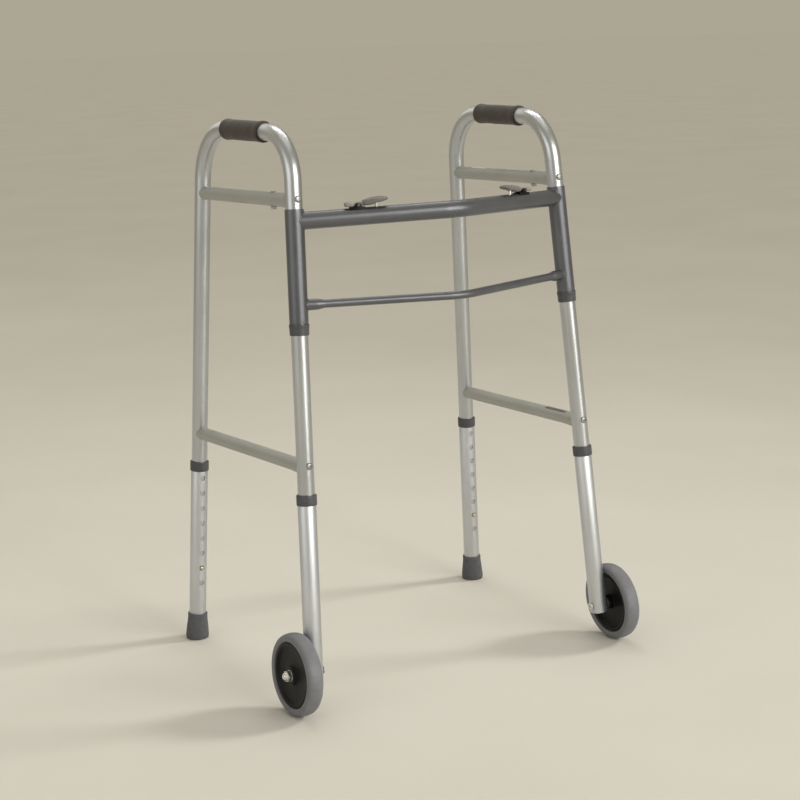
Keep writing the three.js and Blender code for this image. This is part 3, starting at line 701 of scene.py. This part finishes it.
def build_grip(name, s):
    """Foam sleeve with a rolled edge at each end, gripped a little thinner where the hand goes."""
    axis = (on_frame(s, 1, 0) - on_frame(s, 0, 0)).normalized()
    centre = on_frame(s, 0, HANDLE_HEIGHT)
    n1 = outward(s)
    n1 = (n1 - axis * n1.dot(axis)).normalized()
    n2 = axis.cross(n1)
    sides, count = 64, 72
    lip = [(TUBE_R + 0.15, 0.0), (TUBE_R + 1.2, -0.25), (GRIP_R - 1.2, 0.0), (GRIP_R - 0.35, 0.9),
           (GRIP_R, GRIP_LIP)]
    rings = []
    for r, y in lip:
        rings.append(ring(centre + axis * (y - GRIP_HALF), n1, n2, r, sides))
    for k in range(1, count):
        t = k / count
        y = -GRIP_HALF + GRIP_LIP + 2 * (GRIP_HALF - GRIP_LIP) * t
        edge = min(t, 1 - t) * (2 * GRIP_HALF)
        radius = GRIP_R - 0.9 * (1 - math.exp(-((edge / 9) ** 2)))
        radius += 0.2 * math.exp(-(((t - 0.5) / 0.2) ** 2))
        points = []
        for i, p in enumerate(ring(centre + axis * y, n1, n2, radius, sides)):
            lump = 0.22 * noise.noise(Vector((y * 0.05, i * 0.19, 4.0 + s)))
            direction = (p - centre - axis * y).normalized()
            points.append(p + direction * lump * min(1, edge / 6))
        rings.append(points)
    for r, y in reversed(lip):
        rings.append(ring(centre + axis * (GRIP_HALF - y), n1, n2, r, sides))
    grip = make(f"{name}_grip", loft(rings, closed=True))
    stand_for(grip, f"{name}_hand_grip", GRIP_FOAM, straight(centre, axis), sharp=60)


def screw(reach, tip):
    """Profile of a low-headed screw: its head seats on the tube, and its shank runs to `reach`."""
    seat = -TUBE_R - 0.35
    return [(0, seat - 2.2), (3.0, seat - 2.1), (4.4, seat - 1.6, 0.8), (5.1, seat - 0.6, 0.5), (5.1, seat),
            (2.2, seat), (2.2, reach - 1.5), (tip, reach), (0, reach)]


def hexagon(origin, axis, half, depth):
    n1 = axis.orthogonal().normalized()
    return loft([ring(origin + axis * y, n1, axis.cross(n1), half * HEX_CORNER, 6) for y in (-2, depth)])


def build_braces(name, s):
    for level, heights in BRACES.items():
        front, rear, run, rise = brace_axes(s, heights)
        normal = outward(s)
        line = ([front, rear], normal)
        length = (rear - front).length
        profile = [(BRACE_BORE, 0), (BRACE_FLARE, 0), (BRACE_FLARE, 13.5, 6), (BRACE_R, 35, 9),
                   (BRACE_R, length), (BRACE_BORE, length)]
        brace = make(f"{name}_{level}_rail", lathe(profile, front, run, 48))
        dowel_at = front + run * DOWEL_BACK
        cuts = [rod(on_leg(s, leg, heights[leg] - 60), on_leg(s, leg, heights[leg] + 60), TUBE_R + 0.08, 64)
                for leg in ("front", "rear")]
        outside = BRACE_R + 0.12
        if level == "upper":
            cuts.append(rod(dowel_at - rise * 20, dowel_at + rise * 20, 3.3, 24))
            profile = [
                (0, -outside - 4.4), (3.4, -outside - 4.3, 0.5), (4.6, -outside - 3.2, 0.8),
                (5.0, -outside, 0.3), (3, -outside), (3, outside), (4.8, outside, 0.3),
                (4.7, outside + 0.9, 0.6), (3.2, outside + 1.6, 0.6), (0, outside + 1.7),
            ]
        else:  # inside its brace
            profile = [(0, -7.9), (3.4, -7.9, 0.4), (3.4, 7.9, 0.4), (0, 7.9)]
        carve(brace, cuts)
        stand_for(brace, f"{name}_{level}_brace", BRACE, line)

        for leg, at, axis, reach in (("front", front, run, DOWEL_BACK - 1), ("rear", rear, -run, 28)):
            origin = at + rise * SCREW_UP
            part = make(f"{name}_{level}_{leg}_bolt", lathe(screw(reach, 1.4), origin, axis, 32))
            carve(part, [hexagon(origin - axis * (TUBE_R + 2.6), axis, SOCKET, 1.3)])
            stand_for(part, f"{name}_{level}_{leg}_screw", SCREW_STEEL, straight(origin, axis))

        dowel = make(f"{name}_{level}_barrel_nut", lathe(profile, dowel_at, rise, 32))
        slot_at = dowel_at + rise * profile[-1][1]
        slot = slab([(-4, -0.5), (4, -0.5), (4, 0.5), (-4, 0.5)], slot_at, run, outward(s), 0.7)
        shank = rod(front + rise * SCREW_UP, dowel_at + rise * SCREW_UP + run, 2.35, 24)
        carve(dowel, [slot, shank])
        stand_for(dowel, f"{name}_{level}_cross_dowel", BRACE, straight(dowel_at, rise))


def build_label(title, s, level, start, length, low, high, look):
    """A thin blank sticker bent round the upper part of a brace."""
    front, rear, run, n2 = brace_axes(s, BRACES[level])
    n1 = outward(s)
    rows, columns = 12, 14
    corner = 0.12
    skins = []
    for radius in (BRACE_R + 0.05, BRACE_R + 0.22):
        skin = []
        for i in range(rows + 1):
            v = i / rows
            pull = 0.04 * max(0.0, 1 - min(v, 1 - v) / corner) ** 2
            for j in range(columns + 1):
                u = pull + (1 - 2 * pull) * j / columns
                a = math.radians(low + (high - low) * v)
                point = front + run * (start + length * u)
                skin.append(point + n1 * (radius * math.cos(a)) + n2 * (radius * math.sin(a)))
        skins.append(skin)
    wide = columns + 1
    count = len(skins[0])
    faces = []
    for i in range(rows):
        for j in range(columns):
            a = i * wide + j
            faces.append([a, a + 1, a + 1 + wide, a + wide])
            faces.append([count + a, count + a + wide, count + a + 1 + wide, count + a + 1])
    edge = list(range(wide)) + [i * wide + columns for i in range(1, rows + 1)]
    edge += [rows * wide + j for j in range(columns - 1, -1, -1)] + [i * wide for i in range(rows - 1, 0, -1)]
    for a, b in zip(edge, edge[1:] + edge[:1]):
        faces.append([a, b, b + count, a + count])
    label = make(title, (skins[0] + skins[1], faces))
    node = f"{'right' if s < 0 else 'left'}_{level}_brace"
    go_with(label, node, look, ([front, rear], n1), slot="dark_plastic", sharp=50)


# ---- legs, tips and wheels ----
def build_leg(name, s, leg):
    up, inside = leg_up(s, leg), inward(s, leg)
    top, end = on_leg(s, leg, EXT_TOP[leg]), on_leg(s, leg, EXT_END[leg])
    normal = outward(s)
    line = ([end, top], normal)
    shell = pipe([(end, up), (top, up)], normal, EXT_R, EXT_BORE, 0.45, 48)
    extension = make(f"{name}_{leg}_outer_leg", shell)
    holes = []
    for i in range(HOLE_COUNT):
        at = top - up * (FIRST_HOLE + i * HOLE_PITCH)
        bevelled = [(0, 6), (HOLE_R - 0.35, 6), (HOLE_R - 0.35, EXT_R - 1.0), (HOLE_R, EXT_R - 0.35),
                    (HOLE_R + 0.6, EXT_R + 1.2), (0, EXT_R + 1.2)]
        holes.append(lathe(bevelled, at, inside, 28))
    if leg == "front":
        axle, out = axle_point(s), outward(s)
        holes.append(rod(axle - out * 20, axle + out * 20, AXLE_R + 0.15, 28))
    carve(extension, holes)
    stand_for(extension, f"{name}_{leg}_leg_extension", EXTENSION, line)

    foot = COLLAR_LIP - COLLAR_HEIGHT
    profile = [
        (EXT_R + 0.12, foot), (COLLAR_R - 0.1, foot, 0.9), (COLLAR_R, foot + 5),
        (COLLAR_R, COLLAR_LIP - 5), (COLLAR_R, COLLAR_LIP, 1.2), (TUBE_R + 0.25, COLLAR_LIP, 0.4),
        (TUBE_R + 0.25, 0.3), (EXT_R + 0.12, 0.3),
    ]
    collar = make(f"{name}_{leg}_clamp_ring", lathe(profile, top, up, 56))
    stand_for(collar, f"{name}_{leg}_collar", DARK_PLASTIC, line)

    at = button_point(s, leg)
    stud = make(f"{name}_{leg}_push_button",
                lathe([(0, 8.4), (3.3, 8.4), (3.3, 14.5, 1.2), (2.2, 15.6, 1.2), (0, 15.9)], at, inside, 28))
    leaf = [(5, 9.5), (-4.2, 9.5), (-10, 5.4), (-17, 1.1), (-16.4, 0.4), (-9.6, 4.6), (-3.9, 8.7), (5, 8.7)]
    carve(stud, [slab(leaf, at, up, inside, 3)], "UNION")
    stand_for(stud, f"{name}_{leg}_snap_button", BRASSY, straight(at, inside))


def build_tip(name, s):
    """Rubber tip: a lipped socket, a gently flared body and a tread of rings underneath."""
    foot, up = on_leg(s, "rear", 0), leg_up(s, "rear")
    profile = [
        (0, 6.4), (EXT_R + 0.1, 6.4), (EXT_R + 0.1, TIP_TOP, 0.5), (15.9, TIP_TOP, 0.9),
        (15.95, TIP_TOP - 4, 0.8), (15.75, TIP_TOP - 6.5, 0.8), (17.1, 24, 6), (18.3, 13, 5),
        (TIP_R, 5.5, 2.5), (TIP_R - 0.7, 1.4, 1.2), (TIP_R - 2.2, -3), (0, -3),
    ]
    tip = make(f"{name}_rubber_foot", lathe(profile, foot, up, 64))
    upright = Vector((0, 0, 1))
    below = [(-60, -30), (60, -30), (60, 0.02), (-60, 0.02)]
    carve(tip, [slab(below, foot, Vector((1, 0, 0)), upright, 60)])
    grooves = [lathe([(r, -2), (r + 1.3, -2), (r + 1.1, 1.6), (r + 0.2, 1.6)], foot, upright, 48)
               for r in (4.5, 8.5, 12.5)]
    carve(tip, grooves)
    stand_for(tip, f"{name}_rear_tip", TIP_RUBBER, straight(foot, up))


def build_wheel(name, s):
    out, axle = outward(s), axle_point(s)
    centre = axle + out * WHEEL_OUT
    line = straight(centre, out)
    rim = HUB_R - 1.4
    half = TYRE_HALF
    crown = []
    for k in range(-10, 11):
        a = math.radians(CROWN_TURN * k / 10)
        across = half * 0.985 * math.sin(a) / math.sin(math.radians(CROWN_TURN))
        crown.append((WHEEL_R - CROWN_RISE + CROWN_RISE * math.cos(a) ** 0.62, across))
    profile = [(rim + 0.2, -8), (HUB_R + 0.1, -half + 1.2, 0.6), (HUB_R + 1.0, -half + 0.5, 0.4)]
    profile += crown
    profile += [(HUB_R + 1.0, half - 0.5, 0.4), (HUB_R + 0.1, half - 1.2, 0.6), (rim + 0.2, 8)]
    middle = len(profile) // 2
    profile[middle] = (WHEEL_R, 0.0)
    tyre = make(f"{name}_tyre_ring", lathe(profile, centre, out, 120))
    stand_for(tyre, f"{name}_tyre", TYRE_RUBBER, line, sharp=50)

    profile = [
        (AXLE_R + 0.1, -11.6), (11, -11.6, 0.8), (11.6, -4, 1.6), (24, -3.4, 4), (39.5, -3.6, 2),
        (42.2, -8.6, 1.4), (43.4, -10.4, 0.6), (HUB_R - 0.9, -10.4, 0.7), (rim, -7.4), (rim, 7.4),
        (HUB_R - 0.9, 10.4, 0.7), (44.6, 10.4, 0.8), (42.4, 8.8, 1.2), (39.8, 7.2, 1.6), (26, 6.0, 5),
        (14.6, 6.6, 2), (12.6, 10.6, 1.2), (11.4, 11, 0.5), (AXLE_R + 0.1, 11),
    ]
    hub = make(f"{name}_hub_disc", lathe(profile, centre, out, 96))
    stand_for(hub, f"{name}_wheel_hub", BLACK_PLASTIC, line)

    inner = -EXT_R - 0.35
    end = WHEEL_OUT + 11 + 1.8
    profile = [(0, inner - 1.9), (3.6, inner - 1.85), (5.4, inner - 1.5, 0.8), (6.4, inner - 0.5, 0.4),
               (6.4, inner, 0.1), (AXLE_R, inner), (AXLE_R, end + 5.6), (0, end + 5.6)]
    bolt = make(f"{name}_wheel_bolt", lathe(profile, axle, out, 36))
    carve(bolt, [hexagon(axle + out * (inner - 2.2), out, 2.5, 1.6)])
    stand_for(bolt, f"{name}_axle_bolt", STEEL, straight(axle, out))

    near, far = EXT_R + 0.1, WHEEL_OUT - 11.75
    profile = [(AXLE_R + 0.1, near), (9, near, 0.5), (9, far, 0.5), (AXLE_R + 0.1, far)]
    spacer = make(f"{name}_wheel_spacer", lathe(profile, axle, out, 40))
    stand_for(spacer, f"{name}_axle_spacer", DARK_PLASTIC, straight(axle, out))

    # acorn nut: a chamfered hexagon with a dome, on a washer
    body = [(0, end - 0.4), (8.6, end - 0.4, 0.7), (8.6, end + 4.9, 0.4), (6.4, end + 5.5, 0.3),
            (6.0, end + 6.4, 0.5), (5.4, end + 8.6, 1.2), (3.2, end + 10.4, 1.4), (0, end + 10.7)]
    nut = make(f"{name}_acorn_nut", lathe(body, axle, out, 60))
    n1 = out.orthogonal().normalized()
    shell = loft([ring(axle + out * y, n1, out.cross(n1), 7.5 * HEX_CORNER, 6) for y in (end - 3, end + 14)])
    carve(nut, [shell], "INTERSECT")
    washer = [(0, end - 1.6), (8.6, end - 1.6, 0.3), (8.6, end - 0.3, 0.3), (0, end - 0.3)]
    carve(nut, [lathe(washer, axle, out, 48)], "UNION")
    carve(nut, [rod(axle, axle + out * (end + 5.8), AXLE_R + 0.05, 36)])
    stand_for(nut, f"{name}_cap_nut", STEEL, straight(axle, out), sharp=30)


build_front_brace()
for name, s in SIDES.items():
    build_tube(name, s)
    build_grip(name, s)
    build_braces(name, s)
    for leg in ("front", "rear"):
        build_leg(name, s, leg)
    build_tip(name, s)
    build_wheel(name, s)
build_label("left_lower_label", 1, "lower", 28, 62, 62, 122, LABEL_DARK)
build_label("left_upper_label", 1, "upper", 196, 46, 72, 116, LABEL_PALE)

# the lock bolts keep their CAD shape, inside the bar
for node in ("right_lock_bolt", "left_lock_bolt"):
    for slot in frame["nodes"][node].material_slots:
        slot.material = STEEL_INSIDE


# ---- stage, light and camera, in metres ----
FLOOR_REACH = 70.0  # so far that its edge meets the horizon
MIDDLE = Vector((0.0, 0.0, 0.42))  # the lights aim here
GRID = math.radians(110)  # each softbox has a grid, which keeps its light off the floor beside it


def build_floor():
    n = Nodes("pale_floor", "object")
    base = n.ramp(n.noise((1.6, 1.6, 1.6), 3), [(0.3, (0.55, 0.535, 0.49)), (0.7, (0.58, 0.565, 0.52))])
    n.link(base, n.shader.inputs["Base Color"])
    n.link(n.span(n.noise((60, 60, 60), 4), 0.3, 0.7, 0.6, 0.7), n.shader.inputs["Roughness"])
    n.shader.inputs["Specular IOR Level"].default_value = 0.15
    mesh = bpy.data.meshes.new("floor")
    corners = [(x * FLOOR_REACH, y * FLOOR_REACH, 0) for x, y in ((-1, -1), (1, -1), (1, 1), (-1, 1))]
    mesh.from_pydata(corners, [], [(0, 1, 2, 3)])
    floor = bpy.data.objects.new("floor", mesh)
    mesh.materials.append(n.material)
    bpy.context.scene.collection.objects.link(floor)


def add_light(name, kind, place, colour, power, **settings):
    data = bpy.data.lights.new(name, kind)
    data.energy, data.color = power, colour
    for key, value in settings.items():
        setattr(data, key, value)
    light = bpy.data.objects.new(name, data)
    light.location = place
    light.rotation_euler = (MIDDLE - Vector(place)).to_track_quat("-Z", "Y").to_euler()
    bpy.context.scene.collection.objects.link(light)
    return light


def softbox(name, place, width, height, power, colour):
    return add_light(name, "AREA", place, colour, power, shape="RECTANGLE", size=width, size_y=height,
                     spread=GRID)


build_floor()
softbox("key", (2.4, -4.9, 2.0), 2.0, 3.3, 34, (1.0, 0.985, 0.95))
softbox("front", (0.4, -5.3, 2.2), 1.2, 3.0, 38, (1.0, 0.985, 0.95))
softbox("fill", (-5.3, -0.9, 1.9), 5.1, 3.2, 22, (0.97, 0.985, 1.0))
softbox("overhead", (0.2, 0.1, 3.2), 2.6, 2.6, 4.5, (1.0, 0.985, 0.96))
softbox("strip", (0.5, 1.1, 2.9), 2.2, 0.4, 6, (1.0, 0.99, 0.97))
softbox("back", (-0.7, 5.4, 3.1), 4.1, 2.7, 9.5, (1.0, 0.97, 0.93))
# a wide soft sun from the right evens out the floor and lays the shadows to the left
sun = add_light("sun", "SUN", (3.2, -0.9, 2.3), (1.0, 0.955, 0.9), 2.0, angle=math.radians(14))
sun.visible_glossy = False

world = bpy.data.worlds.new("room")
world.use_nodes = True
world.node_tree.nodes["Background"].inputs["Color"].default_value = (0.413, 0.382, 0.302, 1)
world.node_tree.nodes["Background"].inputs["Strength"].default_value = 1.0
bpy.context.scene.world = world
bpy.context.scene.view_settings.view_transform = "Standard"

CAMERA_AT = Vector((-1.3618, -2.3495, 0.9833))
FORWARD = Vector((0.4914, 0.8454, -0.2093)).normalized()
RIGHT = Vector((0.8608, -0.5080, -0.0304))
RIGHT = (RIGHT - FORWARD * RIGHT.dot(FORWARD)).normalized()
camera_data = bpy.data.cameras.new("camera")
camera_data.lens, camera_data.sensor_width = 79.0, 36.0
camera = bpy.data.objects.new("camera", camera_data)
turn = Matrix((RIGHT, RIGHT.cross(FORWARD), -FORWARD)).transposed()
camera.matrix_world = Matrix.Translation(CAMERA_AT) @ turn.to_4x4()
bpy.context.scene.collection.objects.link(camera)
bpy.context.scene.camera = camera
